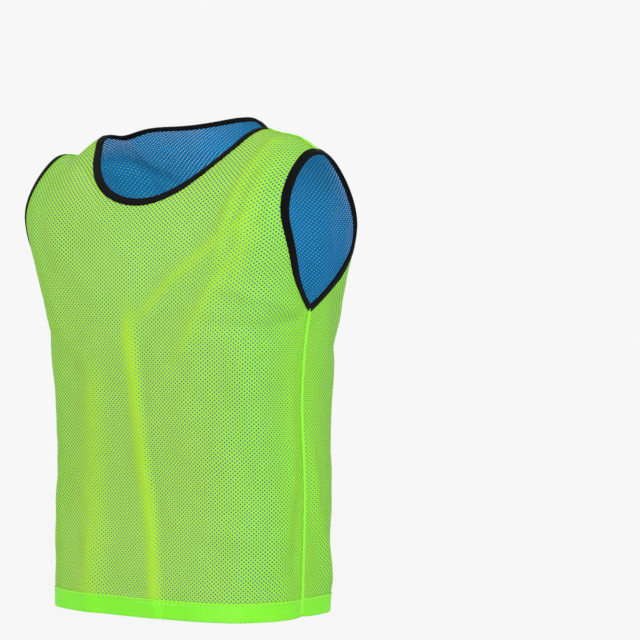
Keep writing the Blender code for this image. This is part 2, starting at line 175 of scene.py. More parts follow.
def throughSections(column, height):
    heights = np.array([row["height"] * mm for row in bodySections])
    values = np.array([row[column] * mm for row in bodySections])
    slopes = np.gradient(values, heights)
    height = np.clip(height, heights[0], heights[-1])
    low = np.clip(np.searchsorted(heights, height) - 1, 0, len(heights) - 2)
    span = heights[low + 1] - heights[low]
    part = (height - heights[low]) / span
    start = (2 * part ** 3 - 3 * part ** 2 + 1) * values[low]
    end = (3 * part ** 2 - 2 * part ** 3) * values[low + 1]
    leanIn = (part ** 3 - 2 * part ** 2 + part) * span * slopes[low]
    leanOut = (part ** 3 - part ** 2) * span * slopes[low + 1]
    return start + end + leanIn + leanOut


aspects = np.linspace(0.0, 1.2, 31)
ringSteps = 161


def ringTables():  # a quarter of a rounded-square section, at even steps along it
    turn = 0.5 * np.pi * np.sin(np.linspace(0, 0.5 * np.pi, 600)) ** 2
    across = np.sin(turn) ** (2 / worn["ringPower"])
    deep = np.cos(turn) ** (2 / worn["ringPower"])
    lengths, acrossRows, deepRows = [], [], []
    for aspect in aspects:
        walked = np.concatenate([[0.0], np.cumsum(np.hypot(np.diff(across), aspect * np.diff(deep)))])
        steps = np.linspace(0.0, walked[-1], ringSteps)
        lengths.append(walked[-1])
        acrossRows.append(np.interp(steps, walked, across))
        deepRows.append(np.interp(steps, walked, deep))
    return np.array(lengths), np.array(acrossRows), np.array(deepRows)


ringLengths, ringAcross, ringDeep = ringTables()


def ringLength(aspect):
    return np.interp(aspect, aspects, ringLengths)


def ringPlace(walk, aspect):
    row = np.clip(aspect / aspects[-1] * (len(aspects) - 1), 0, len(aspects) - 1.001)
    top = row.astype(int)
    rowPart = row - top
    step = np.clip(np.abs(walk) / ringLength(aspect), 0, 1) * (ringSteps - 1.001)
    left = step.astype(int)
    stepPart = step - left
    places = []
    for table in (ringAcross, ringDeep):
        upper = table[top, left] * (1 - stepPart) + table[top, left + 1] * stepPart
        lower = table[top + 1, left] * (1 - stepPart) + table[top + 1, left + 1] * stepPart
        places.append(upper * (1 - rowPart) + lower * rowPart)
    return places


def unit(rows):
    return rows / np.linalg.norm(rows, axis=-1, keepdims=True)


def facing(side):
    return -1.0 if side == "front" else 1.0


def ridgeHeight(across, side):
    pastNeck = np.maximum(np.abs(across) - cut["neckHalf"], 0.0)
    ridge = -worn["shoulderSlope"] * (np.hypot(pastNeck, worn["slopeRound"]) - worn["slopeRound"])
    for bump in ridgeBumps:
        near = np.clip((across / mm - bump["across"]) / bump["halfLong"], -1, 1)
        ridge = ridge + 0.5 * bump["lift"] * mm * (1 + np.cos(np.pi * near))
    if side == "back":
        middle = np.clip(1 - (across / cut["neckHalf"]) ** 6, 0, 1) ** 2
        tilt = worn["backNeckTilt"] * np.sin(2 * np.pi * across / worn["backNeckWave"])
        ridge = ridge + (worn["backNeckRise"] + tilt) * middle
    return ridge


footWidth = throughSections("halfWidth", worn["archFoot"])
topWalk = footWidth * ringLength(throughSections("front", worn["archFoot"]) / footWidth) / cut["halfPanel"]
turns = np.linspace(0.0, 0.5 * np.pi, 25)


def archWalks(across, side):
    depth = throughSections(side, worn["archFoot"])
    walk = np.abs(across) * topWalk / footWidth
    deep = ringPlace(walk, np.full(across.shape, depth / footWidth))[1] * depth
    out = np.sin(turns)[:, None] * deep[None, :]
    down = (1 - np.cos(turns))[:, None] * worn["archTall"] + 0.0 * out
    pieces = np.hypot(np.diff(out, axis=0), np.diff(down, axis=0))
    return np.vstack([np.zeros(across.size), np.cumsum(pieces, axis=0)])


def clothHeight(across, side):
    across = np.atleast_1d(np.asarray(across, float))
    return archWalks(across, side)[-1] + ridgeHeight(across, side) - worn["archTall"] + cut["bodyDrop"]


def wornPoint(across, down, side):
    walks = archWalks(across, side)
    row = np.clip((walks <= down).sum(axis=0) - 1, 0, len(turns) - 2)
    place = np.arange(len(down))
    low, high = walks[row, place], walks[row + 1, place]
    turn = turns[row] + np.clip((down - low) / np.maximum(high - low, 1e-9), 0, 1) * turns[1]
    hang = np.maximum(down - walks[-1], 0.0)
    height = ridgeHeight(across, side) - worn["archTall"] * (1 - np.cos(turn)) - hang
    halfWidth = throughSections("halfWidth", height)
    depth = throughSections(side, height)
    ownWalk = halfWidth * ringLength(depth / halfWidth) / cut["halfPanel"]
    blend = smoothStep((height - worn["ringBlend"][0]) / (worn["ringBlend"][1] - worn["ringBlend"][0]))
    walk = np.abs(across) * (ownWalk * (1 - blend) + topWalk * blend) / halfWidth
    depth = depth * np.sin(turn)
    ringX, ringY = ringPlace(walk, depth / halfWidth)
    x = halfWidth * ringX * np.sign(across) + throughSections("aside", height)
    leaning = smoothStep((height - worn["leanBlend"][0]) / (worn["leanBlend"][1] - worn["leanBlend"][0]))
    height = height - worn["shoulderLean"] * x * leaning
    return np.stack([x, facing(side) * depth * ringY, height], axis=-1)


def outward(across, down, side):
    step = 1.5 * mm
    right = np.minimum(across + step, cut["halfPanel"])
    left = np.maximum(across - step, -cut["halfPanel"])
    over = np.maximum(down - step, 0.0)
    along = wornPoint(right, down, side) - wornPoint(left, down, side)
    up = wornPoint(across, over, side) - wornPoint(across, down + step, side)
    return unit(np.cross(along, up) * -facing(side))


def neckEdge(turn, inset, side):
    sine, cosine = np.sin(turn), np.clip(np.cos(turn), 0, 1)
    power = 2 / cut["neckPower"]
    across = (cut["neckHalf"] + inset) * np.sign(sine) * np.abs(sine) ** power
    return across, (cut["neckDeep"][side] + inset) * cosine ** power


def armholeEdge(parts, inset, side):
    tipUp = clothHeight(cut["shoulderTip"], side)[0]
    corners = np.array([
        [cut["halfPanel"], cut["armpitUp"]],
        [cut["halfPanel"] - cut["armholeSeamRun"], cut["armpitUp"] + cut["armholeSeamRise"]],
        [cut["shoulderTip"] - cut["armholeTipLean"], tipUp - cut["armholeTipRun"]],
        [cut["shoulderTip"], tipUp],
    ])
    p = np.atleast_1d(parts)[:, None]
    curve = ((1 - p) ** 3 * corners[0] + 3 * (1 - p) ** 2 * p * corners[1]
             + 3 * (1 - p) * p ** 2 * corners[2] + p ** 3 * corners[3])
    heading = ((1 - p) ** 2 * (corners[1] - corners[0]) + 2 * (1 - p) * p * (corners[2] - corners[1])
               + p ** 2 * (corners[3] - corners[2]))
    heading = unit(heading)
    square = np.stack([-heading[:, 1], heading[:, 0]], axis=1)
    atFoot = 1 - smoothStep(p / cut["armholeFoot"])
    square = square * (1 - atFoot) + np.array([0.0, -cut["armholeFootDrop"]]) * atFoot
    alongRidge = np.array([-inset, clothHeight(cut["shoulderTip"] - inset, side)[0] - tipUp])
    turned = smoothStep((p - cut["armholeTip"]) / (1 - cut["armholeTip"]))
    curve = curve + inset * square * (1 - turned) + alongRidge * turned
    return np.minimum(curve[:, 0], cut["halfPanel"]), curve[:, 1]


def edgeDistance(across, up, side):  # rough distance to the nearest seam or bound edge
    nearest = np.minimum(cut["halfPanel"] - np.abs(across), clothHeight(across, side) - up)
    neckAcross, neckDown = neckEdge(np.linspace(-0.5 * np.pi, 0.5 * np.pi, 40), 0.0, side)
    neckUp = clothHeight(neckAcross, side) - neckDown
    armAcross, armUp = armholeEdge(np.linspace(0, 1, 30), 0.0, side)
    for edgeAcross, edgeUp in ((neckAcross, neckUp), (armAcross, armUp), (-armAcross, armUp)):
        for a, u in zip(edgeAcross, edgeUp):
            nearest = np.minimum(nearest, np.hypot(across - a, up - u))
    return np.maximum(nearest, 0.0)


def foldNear(row, across, up, lee):  # 1 on the fold's line, falling to 0 beside it
    run = np.array(row["run"]) * mm
    spread = np.full(across.shape, 1e3)
    for start, end in zip(run, run[1:]):
        way = end - start
        part = ((across - start[0]) * way[0] + (up - start[1]) * way[1]) / (way @ way)
        near = np.clip(part, 0, 1)
        offAcross = across - start[0] - near * way[0]
        offUp = up - start[1] - near * way[1]
        length = np.linalg.norm(way)
        aside = (offAcross * way[1] - offUp * way[0]) / length
        past = (offAcross * way[0] + offUp * way[1]) / length
        wide = np.where(aside > 0, row["wide"] * lee, row["wide"]) * mm
        spread = np.minimum(spread, (aside / wide) ** 2 + (past / foldEnds) ** 2)
    return np.exp(-spread)


def foldRise(across, up, side):
    total = np.zeros_like(across)
    for row in foldRows[side]:
        total += row["rise"] * mm * foldNear(row, across, up, row.get("lee", 1.0))
    return total


def holeShare(across, up, side):  # holes are pulled narrower on drawn folds and by the side seams
    inner, outer = net["seamReach"]
    share = 1 - net["seamShut"] * smoothStep((np.abs(across) - inner) / (outer - inner))
    for row in foldRows[side]:
        if "shut" in row:
            share = share * (1 - row["shut"] * foldNear(row, across, up, 1.0))
    return share


# soft unevenness of the cloth: a few long waves, each with its own heading
waveRows = [
    {"length": 118 * mm, "heading": 62, "rise": 0.80 * mm, "start": 0.4},
    {"length": 83 * mm, "heading": 101, "rise": 0.62 * mm, "start": 2.1},
    {"length": 61 * mm, "heading": 78, "rise": 0.42 * mm, "start": 4.4},
    {"length": 47 * mm, "heading": 33, "rise": 0.28 * mm, "start": 1.2},
    {"length": 38 * mm, "heading": 128, "rise": 0.2 * mm, "start": 5.3},
]


def waveRise(across, up, side):
    total = np.zeros_like(across)
    shift = 0.0 if side == "front" else 1.7
    for row in waveRows:
        heading = math.radians(row["heading"])
        along = across * math.sin(heading) - up * math.cos(heading)
        bend = 0.7 * np.sin(2 * np.pi * up / (3.1 * row["length"]) + row["start"])
        total += row["rise"] * np.sin(2 * np.pi * along / row["length"] + row["start"] + bend + shift)
    return total


gathers = {"rise": 0.35 * mm, "reach": 16 * mm, "pitch": 5.2 * mm, "drift": 41 * mm, "swell": 63 * mm}


def hemPucker(across, up):  # small uneven gathers where the hem is sewn
    off = np.abs(up - cut["hemTall"]) / gathers["reach"]
    wave = np.sin(across / gathers["pitch"] + 2.4 * np.sin(across / gathers["drift"]))
    wave = wave * (0.6 + 0.4 * np.sin(across / gathers["swell"] + 1.1))
    return gathers["rise"] * wave * np.exp(-off ** 2)


def clothPoints(across, up, side, out):
    shape = np.shape(across)
    across, up = np.ravel(across), np.ravel(up)
    down = np.maximum(clothHeight(across, side) - up, 0.0)
    calm = smoothStep(edgeDistance(across, up, side) / edgeCalm)
    rise = (foldRise(across, up, side) + waveRise(across, up, side)) * calm + hemPucker(across, up)
    rise = rise + np.ravel(out)
    points = wornPoint(across, down, side) + outward(across, down, side) * rise[:, None]
    return points.reshape(shape + (3,))


uvSpan = 0.72   # the panel's map spans this many metres


def newPiece(name, points, faces, material, uv):
    shape = bpy.data.meshes.new(name)
    shape.from_pydata(np.asarray(points).tolist(), [], faces)
    layer = shape.uv_layers.new(name="OFBake")
    corner = np.zeros(len(shape.loops), dtype=np.int32)
    shape.loops.foreach_get("vertex_index", corner)
    layer.data.foreach_set("uv", np.asarray(uv, dtype=np.float32)[corner].ravel())
    shape.materials.append(material)
    shape.shade_smooth()
    thing = bpy.data.objects.new(name, shape)
    bpy.context.scene.collection.objects.link(thing)
    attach(thing, "root")
    return thing


# places of a holed net over a rectangle, with its quads and its triangles
def netCells(low, high, wide, tall, radius, turn, shift):
    rows = int((high[1] - low[1]) / (0.5 * tall)) + 8
    columns = int((high[0] - low[0]) / wide) + 6
    r, c = np.meshgrid(np.arange(rows), np.arange(columns), indexing="ij")
    middleX = (c + 0.5 * (r % 2) - 0.5 * columns) * wide + shift[0]
    middleY = (r - 0.5 * rows) * 0.5 * tall + shift[1]
    angles = np.radians(net["holeAngles"])
    x = middleX[..., None] + radius * np.cos(angles)
    y = middleY[..., None] + radius * np.sin(angles)
    across = 0.5 * (low[0] + high[0]) + x * math.cos(turn) - y * math.sin(turn)
    up = 0.5 * (low[1] + high[1]) + x * math.sin(turn) + y * math.cos(turn)
    index = (r * columns + c) * 6
    quads, triangles = [], []
    for odd in (0, 1):
        rr, cc = np.meshgrid(np.arange(odd, rows - 2, 2), np.arange(1, columns - 1), indexing="ij")
        me = index[rr, cc]
        upper = index[rr + 2, cc]
        right = index[rr + 1, cc + odd]
        left = index[rr + 1, cc - 1 + odd]
        quads += [
            np.stack([me + 1, upper + 5, upper + 4, me + 2], -1).reshape(-1, 4),
            np.stack([me, right + 4, right + 3, me + 1], -1).reshape(-1, 4),
            np.stack([me + 2, left, left + 5, me + 3], -1).reshape(-1, 4),
        ]
        triangles += [
            np.stack([me + 1, right + 3, upper + 5], -1).reshape(-1, 3),
            np.stack([me + 2, upper + 4, left], -1).reshape(-1, 3),
        ]
    return across.ravel(), up.ravel(), np.concatenate(quads), np.concatenate(triangles)


def warp(across, up, amount, start):  # knitted cloth never lies quite square
    dx = np.sin(up / (74 * mm) + start) + 0.6 * np.sin(across / (52 * mm) + up / (91 * mm) + 2 * start)
    dy = np.sin(across / (66 * mm) + 1.3 * start) + 0.5 * np.sin(up / (47 * mm) + start)
    return across + amount * dx, up + amount * dy


# true where a place of the flat panel is cloth, inset from neck and armholes
def insidePanel(across, up, side, inset):
    height = clothHeight(across, side)
    neckX, neckY = cut["neckHalf"] + inset, cut["neckDeep"][side] + inset
    inNeck = (np.abs(across) / neckX) ** cut["neckPower"] \
        + (np.maximum(height - up, 0) / neckY) ** cut["neckPower"] < 1
    armAcross, armUp = armholeEdge(np.linspace(0, 1, 120), inset, side)
    edge = np.interp(up, armUp, armAcross, left=1.0, right=armAcross[-1])
    return ~inNeck & (np.abs(across) < edge)


def cornerLift(across):  # the hem is a little shorter at the side seams, which rounds its corners
    lift = np.where(across < 0, hem["cornerLift"][0], hem["cornerLift"][1])
    return lift * np.abs(across / cut["halfPanel"]) ** hem["cornerPower"]


def narrowHoles(across, up, shareAt):  # draws each hole's six corners towards its middle
    across, up = across.reshape(-1, 6), up.reshape(-1, 6)
    middleAcross, middleUp = across.mean(axis=1, keepdims=True), up.mean(axis=1, keepdims=True)
    share = shareAt(middleAcross, middleUp)
    across = (middleAcross + (across - middleAcross) * share).ravel()
    return across, (middleUp + (up - middleUp) * share).ravel()


def keepUsed(kept, count):  # the corners that the kept faces use, and the faces renumbered
    used = np.unique(np.concatenate([faces.ravel() for faces in kept]))
    place = np.full(count, -1)
    place[used] = np.arange(len(used))
    return used, place[kept[0]].tolist() + place[kept[1]].tolist()


# one layer of the bib, cut to the panel's outline, with every hole of the net
def netPanel(name, side, out, material, lowUp, look, slipped):
    half, margin = cut["halfPanel"], net["margin"]
    topUp = clothHeight(np.linspace(0, half, 60), side).max()
    across, up, quads, triangles = netCells(
        (-half - margin, lowUp - margin), (half + margin, topUp + margin),
        net["cellWide"], net["cellTall"], look["radius"], look["turn"], look["shift"])
    if not slipped:
        across, up = narrowHoles(across, up, lambda a, u: holeShare(a, u, side))
    across, up = warp(across, up, net["warp"], 0.3 if side == "front" else 1.9)
    if slipped:
        across, up = warp(across + slip["aside"], up, slip["amount"], 4.0)
    flatAcross = np.clip(across, -half, half)
    flatUp = np.maximum(up, lowUp + (cornerLift(flatAcross) if slipped else 0.0))
    height = clothHeight(flatAcross, side)
    flatUp = np.minimum(flatUp, height)
    past = (np.abs(across) > half) | (up < lowUp) | (up > height)
    inside = insidePanel(flatAcross, flatUp, side, net["bound"])
    kept = []
    for faces in (quads, triangles):
        kept.append(faces[inside[faces].all(axis=1) & ~past[faces].all(axis=1)])
    used, faces = keepUsed(kept, len(across))
    flatAcross, flatUp = flatAcross[used], flatUp[used]
    points = clothPoints(flatAcross, flatUp, side, np.full(len(used), out))
    uv = np.stack([flatAcross, flatUp], axis=-1) / uvSpan + (0.5, 0.02)
    if side == "back":
        faces = [face[::-1] for face in faces]
    thing = newPiece(name, points, faces, material, uv)
    print(name, len(kept[0]) * 2 + len(kept[1]), "triangles")
    return thing


def newMaterial(name):
    material = bpy.data.materials.new(name)
    material.use_nodes = True
    tree = material.node_tree
    return material, tree, tree.nodes["Principled BSDF"], tree.nodes["Material Output"]


def wire(source, output, target, socket):
    source.id_data.links.new(source.outputs[output], target.inputs[socket])


def addNode(tree, kind, **values):
    node = tree.nodes.new(kind)
    for key, value in values.items():
        if hasattr(node, key):
            setattr(node, key, value)
        else:
            node.inputs[key.replace("_", " ").title()].default_value = value
    return node


# knitted polyester: uneven colour, painted shade towards the side seams, fine loops in the bump, and light
# that comes through
def netMaterial(name, look):
    material, tree, shader, output = newMaterial(name)
    place = addNode(tree, "ShaderNodeTexCoord")
    drift = addNode(tree, "ShaderNodeTexNoise", scale=look["driftScale"], detail=3.0)
    yarn = addNode(tree, "ShaderNodeTexNoise", scale=look["yarnScale"], detail=2.0)
    wire(place, "Object", drift, "Vector")
    wire(place, "Object", yarn, "Vector")
    colour = addNode(tree, "ShaderNodeMix", data_type="RGBA")
    colour.inputs["A"].default_value = (*look["colour"], 1)
    colour.inputs["B"].default_value = (*look["colourDeep"], 1)
    wire(drift, "Fac", colour, "Factor")
    # painted shade: the colour turns deeper towards the side seams, standing in for the less light that
    # the sides of the bib catch
    panelMap = addNode(tree, "ShaderNodeUVMap", uv_map="OFBake")
    parts = addNode(tree, "ShaderNodeSeparateXYZ")
    wire(panelMap, "UV", parts, "Vector")
    centred = addNode(tree, "ShaderNodeMath", operation="SUBTRACT")
    wire(parts, "X", centred, 0)
    centred.inputs[1].default_value = 0.5
    aside = addNode(tree, "ShaderNodeMath", operation="ABSOLUTE")
    wire(centred, "Value", aside, 0)
    ramp = addNode(tree, "ShaderNodeMapRange", interpolation_type="SMOOTHSTEP")
    ramp.inputs["From Min"].default_value = look["sideShadeFrom"]
    ramp.inputs["From Max"].default_value = look["sideShadeTo"]
    wire(aside, "Value", ramp, "Value")
    edge = addNode(tree, "ShaderNodeMix", data_type="RGBA")
    wire(ramp, "Result", edge, "Factor")
    wire(colour, "Result", edge, "A")
    edge.inputs["B"].default_value = (*look["colourSideShade"], 1)
    fleck = addNode(tree, "ShaderNodeMix", data_type="RGBA", blend_type="MULTIPLY")
    fleck.inputs["Factor"].default_value = look["fleck"]
    wire(edge, "Result", fleck, "A")
    spread = addNode(tree, "ShaderNodeMapRange")
    spread.inputs["From Min"].default_value = look["yarnFrom"][0]
    spread.inputs["From Max"].default_value = look["yarnFrom"][1]
    spread.inputs["To Min"].default_value = look["yarnTo"][0]
    spread.inputs["To Max"].default_value = look["yarnTo"][1]
    wire(yarn, "Fac", spread, "Value")
    wire(spread, "Result", fleck, "B")
    loops = addNode(tree, "ShaderNodeTexVoronoi", scale=1.0 / look["loop"])
    wire(place, "Object", loops, "Vector")
    bump = addNode(tree, "ShaderNodeBump")
    bump.inputs["Strength"].default_value = look["bump"]
    bump.inputs["Distance"].default_value = look["loopDeep"]
    wire(loops, "Distance", bump, "Height")
    wire(fleck, "Result", shader, "Base Color")
    wire(bump, "Normal", shader, "Normal")
    shader.inputs["Roughness"].default_value = look["roughness"]
    shader.inputs["Specular IOR Level"].default_value = look["specular"]
    shader.inputs["Sheen Weight"].default_value = look["sheen"]
    shader.inputs["Sheen Roughness"].default_value = look["sheenRoughness"]
    shader.inputs["Sheen Tint"].default_value = (*look["sheenTint"], 1)
    through = addNode(tree, "ShaderNodeBsdfTranslucent")
    through.inputs["Color"].default_value = (*look["through"], 1)
    wire(bump, "Normal", through, "Normal")
    both = addNode(tree, "ShaderNodeMixShader")
    both.inputs["Fac"].default_value = look["throughShare"]
    wire(shader, "BSDF", both, 1)
    wire(through, "BSDF", both, 2)
    wire(both, "Shader", output, "Surface")
    return material


knit = {  # what the green and the blue yarn share
    "driftScale": 14.0, "yarnScale": 900.0, "yarnFrom": (0.3, 0.7), "yarnTo": (0.45, 1.15),
    "loop": 0.7 * mm, "loopDeep": 0.4 * mm, "bump": 0.35, "sheenRoughness": 0.45,
    "sideShadeFrom": 0.13, "sideShadeTo": 0.36,   # where the painted side shade starts and where it is full, off the panel's middle, in shares of its map
}
# the colour given for the side seams in each look is painted shade, the deeper colour the net turns to
# there
greenLook = dict(
    knit, colour=(0.470, 0.80, 0.043), colourDeep=(0.385, 0.74, 0.037), fleck=0.22,
    colourSideShade=(0.325, 0.80, 0.031), roughness=0.5, specular=0.14, sheen=0.0,
    sheenTint=(0.8, 1.0, 0.5), through=(0.50, 0.82, 0.02), throughShare=0.18)
hemLook = dict(greenLook, colour=(0.27, 0.95, 0.028), colourDeep=(0.22, 0.90, 0.024), fleck=0.14,
               colourSideShade=(0.25, 0.93, 0.026), specular=0.3)
blueLook = dict(
    knit, colour=(0.001, 0.25, 0.60), colourDeep=(0.001, 0.20, 0.52), fleck=0.3,
    colourSideShade=(0.001, 0.19, 0.50), roughness=0.6, specular=0.12, sheen=0.02,
    sheenTint=(0.5, 0.8, 1.0), through=(0.004, 0.22, 0.48), throughShare=0.2)
greenNet = netMaterial("greenNet", greenLook)
greenHem = netMaterial("greenHem", hemLook)
blueNet = netMaterial("blueNet", blueLook)

tape = {"distortion": 0.6, "detail": 2.0, "detailScale": 1.5, "fuzzScale": 1400.0,
        "ribDeep": 0.3 * mm, "sheenRoughness": 0.5}


# woven tape and thread: fine ribs across it, with painted shade: darker in the grooves between the ribs
# and paler on the high threads
def tapeMaterial(name, look):
    material, tree, shader, output = newMaterial(name)
    uv = addNode(tree, "ShaderNodeUVMap", uv_map="OFBake")
    ribs = addNode(tree, "ShaderNodeTexWave", bands_direction="X")
    ribs.inputs["Scale"].default_value = look["ribs"]
    ribs.inputs["Distortion"].default_value = tape["distortion"]
    ribs.inputs["Detail"].default_value = tape["detail"]
    ribs.inputs["Detail Scale"].default_value = tape["detailScale"]
    wire(uv, "UV", ribs, "Vector")
    place = addNode(tree, "ShaderNodeTexCoord")
    fuzz = addNode(tree, "ShaderNodeTexNoise", scale=tape["fuzzScale"], detail=2.0)
    wire(place, "Object", fuzz, "Vector")
    # painted shade: the deep colour in the low threads and the plain colour on the high ones, by the same
    # height as the bump
    mix = addNode(tree, "ShaderNodeMix", data_type="RGBA")
    mix.inputs["A"].default_value = (*look["colourDeep"], 1)
    mix.inputs["B"].default_value = (*look["colour"], 1)
    height = addNode(tree, "ShaderNodeMath", operation="MULTIPLY")
    wire(ribs, "Fac", height, 0)
    wire(fuzz, "Fac", height, 1)
    wire(height, "Value", mix, "Factor")
    wire(mix, "Result", shader, "Base Color")
    bump = addNode(tree, "ShaderNodeBump")
    bump.inputs["Strength"].default_value = look["bump"]
    bump.inputs["Distance"].default_value = tape["ribDeep"]
    wire(height, "Value", bump, "Height")
    wire(bump, "Normal", shader, "Normal")
    shader.inputs["Roughness"].default_value = look["roughness"]
    shader.inputs["Specular IOR Level"].default_value = look["specular"]
    shader.inputs["Sheen Weight"].default_value = look["sheen"]
    shader.inputs["Sheen Roughness"].default_value = tape["sheenRoughness"]
    return material


blackTape = tapeMaterial("blackTape", {
    "colour": (0.0045, 0.0045, 0.0055), "colourDeep": (0.0015, 0.0015, 0.002), "ribs": 260.0,
    "bump": 0.5, "roughness": 0.8, "specular": 0.08, "sheen": 0.01,
})
blackThread = tapeMaterial("blackThread", {
    "colour": (0.010, 0.010, 0.012), "colourDeep": (0.004, 0.004, 0.005), "ribs": 700.0,
    "bump": 0.4, "roughness": 0.6, "specular": 0.15, "sheen": 0.0,
})
greenSeam = tapeMaterial("greenSeam", {
    "colour": (0.31, 0.88, 0.030), "colourDeep": (0.24, 0.80, 0.025), "ribs": 300.0,
    "bump": 0.45, "roughness": 0.6, "specular": 0.25, "sheen": 0.08,
})
blueSeam = tapeMaterial("blueSeam", {
    "colour": (0.012, 0.33, 0.55), "colourDeep": (0.007, 0.22, 0.42), "ribs": 300.0,
    "bump": 0.45, "roughness": 0.6, "specular": 0.25, "sheen": 0.08,
})


# the two nets
hemTop = cut["hemTall"]
greenPanels = {
    "front": {"turn": 0.0, "shift": (1.2 * mm, 0.6 * mm), "radius": 1.27 * mm},
    "back": {"turn": 0.002, "shift": (0.4 * mm, 1.5 * mm), "radius": 1.27 * mm},
}
bluePanels = {
    "front": {"turn": 0.0, "shift": (1.2 * mm, 0.6 * mm), "radius": 0.95 * mm},
    "back": {"turn": 0.002, "shift": (0.4 * mm, 1.5 * mm), "radius": 0.76 * mm},
}
slip = {"aside": 3.3 * mm, "amount": 0.75 * mm}   # how the blue net lies against the green one
greenLow = hemTop - 2 * mm     # the green net starts under the hem's top edge
blueLow = 0.8 * mm
for side in ("front", "back"):
    piece = netPanel(side + "NetGreen", side, layers["greenOut"], greenNet, greenLow,
                     greenPanels[side], False)
    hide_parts(side + "_panel")
    piece = netPanel(side + "NetBlue", side, layers["blueOut"], blueNet, blueLow,
                     bluePanels[side], True)
    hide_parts(side + "_lining")
print("nets made")


# a place on the turned hem: down the face from its top edge, round the fold, and up behind
def hemPlace(along, walk, side):
    tall = hemTop + hem["lap"]
    radius = 0.5 * (layers["hemOut"] - layers["hemUnder"])
    turnLength = math.pi * radius
    past = np.clip(walk - tall, 0, turnLength) / turnLength
    behind = np.maximum(walk - tall - turnLength, 0)
    middle = 0.5 * (layers["hemOut"] + layers["hemUnder"])
    out = middle + radius * np.cos(math.pi * past)
    up = np.where(walk < tall, tall - walk, -radius * np.sin(math.pi * past)) + behind
    out = out - hem["sunk"] * np.exp(-(walk / hem["sinkRun"]) ** 2)
    up = up + radius + hem["clear"]
    up = up + cornerLift(along) * np.clip(1 - up / hemTop, 0, 1)
    shallow = np.maximum(up, 0.0)
    points = clothPoints(along, shallow, side, out)
    points[:, 2] += np.minimum(up, 0.0)
    return points


def netHem(side):
    half, margin = cut["halfPanel"], net["margin"]
    length = hemTop + hem["underTall"]
    along, walk, quads, triangles = netCells(
        (-half - margin, -margin), (half + margin, length + margin),
        net["cellWide"] * hem["pitch"][0], net["cellTall"] * hem["pitch"][1],
        hem["holeRadius"], 0.0, hem["shift"])
    along, walk = narrowHoles(along, walk, lambda a, w: np.where(w > hemTop, hem["innerShare"], 1.0))
    along, walk = warp(along, walk, hem["warp"], 2.2)
    past = (np.abs(along) > half) | (walk < 0) | (walk > length)
    along, walk = np.clip(along, -half, half), np.clip(walk, 0, length)
    kept = [faces[~past[faces].all(axis=1)] for faces in (quads, triangles)]
    used, faces = keepUsed(kept, len(along))
    points = hemPlace(along[used], walk[used], side)
    uv = np.stack([along[used] / hem["mapSpan"] + 0.5, walk[used] / hem["mapSpan"]], axis=-1)
    if side == "front":
        faces = [face[::-1] for face in faces]
    thing = newPiece(side + "HemNet", points, faces, greenHem, uv)
    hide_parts(side + "_hem")


for side in ("front", "back"):
    netHem(side)
print("hems made")


def runAlong(places):
    return np.concatenate([[0], np.cumsum(np.linalg.norm(np.diff(places, axis=0), axis=1))])


def tubeFaces(count, around, closed=False, first=0):  # faces round a row of rings, with its two ends
    faces = []
    for s in range(count if closed else count - 1):
        here, ahead = first + s * around, first + (s + 1) % count * around
        for k in range(around):
            n = (k + 1) % around
            faces.append((here + k, here + n, ahead + n, ahead + k))
    if not closed:
        faces.append(tuple(first + k for k in range(around))[::-1])
        faces.append(tuple(first + (count - 1) * around + k for k in range(around)))
    return faces


# sweeps a profile of (aside, out) pairs along places, with a normal and a way across at each
def strip(name, places, normals, ways, profile, material, uvScale):
    rings = np.array([places + ways * a + normals * o for a, o in profile]).transpose(1, 0, 2)
    count, around = rings.shape[:2]
    uv = np.stack([np.repeat(runAlong(places), around) * uvScale,
                   np.tile(np.arange(around) / around, count)], -1)
    return newPiece(name, rings.reshape(-1, 3), tubeFaces(count, around), material, uv)


# a flattened round section, wide by tall, standing on low
def roundProfile(wide, tall, low, count=14, square=2.6):
    angles = np.linspace(0, 2 * np.pi, count, endpoint=False)
    cosine, sine = np.cos(angles), np.sin(angles)
    aside = 0.5 * wide * np.sign(cosine) * np.abs(cosine) ** (2 / square)
    out = low + 0.5 * tall * (1 + np.sign(sine) * np.abs(sine) ** (2 / square))
    return list(zip(aside, out))


# a row of stitches: each a short thread that dips into the cloth at both ends
def stitches(name, places, normals, ways, look, material):
    runs = runAlong(places)
    count = int(runs[-1] / look["pitch"])
    starts = (np.arange(count) + 0.5) * runs[-1] / count
    beads = np.linspace(-0.5, 0.5, 5)
    sides = 6
    points, faces = [], []
    for start in starts:
        at = start + beads * look["long"] * (1 + 0.05 * math.sin(start * 4000))
        centre = np.stack([np.interp(at, runs, places[:, k]) for k in range(3)], -1)
        normal = np.stack([np.interp(at, runs, normals[:, k]) for k in range(3)], -1)
        way = np.stack([np.interp(at, runs, ways[:, k]) for k in range(3)], -1)
        lift = look["lift"] * (1 - (2 * beads) ** 2) + look["low"]
        thick = look["thick"] * np.sqrt(np.clip(1 - (2 * beads) ** 4, 0.1, 1))
        base = len(points)
        for b in range(len(beads)):
            for k in range(sides):
                angle = 2 * math.pi * k / sides
                points.append(centre[b] + way[b] * (look["aside"] + thick[b] * math.cos(angle))
                              + normal[b] * (lift[b] + thick[b] * math.sin(angle)))
        faces += tubeFaces(len(beads), sides, first=base)
    return newPiece(name, points, faces, material, np.zeros((len(points), 2)))


# black binding
binding = {"stations": 420, "puff": 0.25 * mm, "outside": 0.75 * mm, "inside": -3.1 * mm,
           "middle": -1.2 * mm, "thick": 0.45 * mm, "foldRound": 1.7 * mm, "crown": 0.12 * mm}


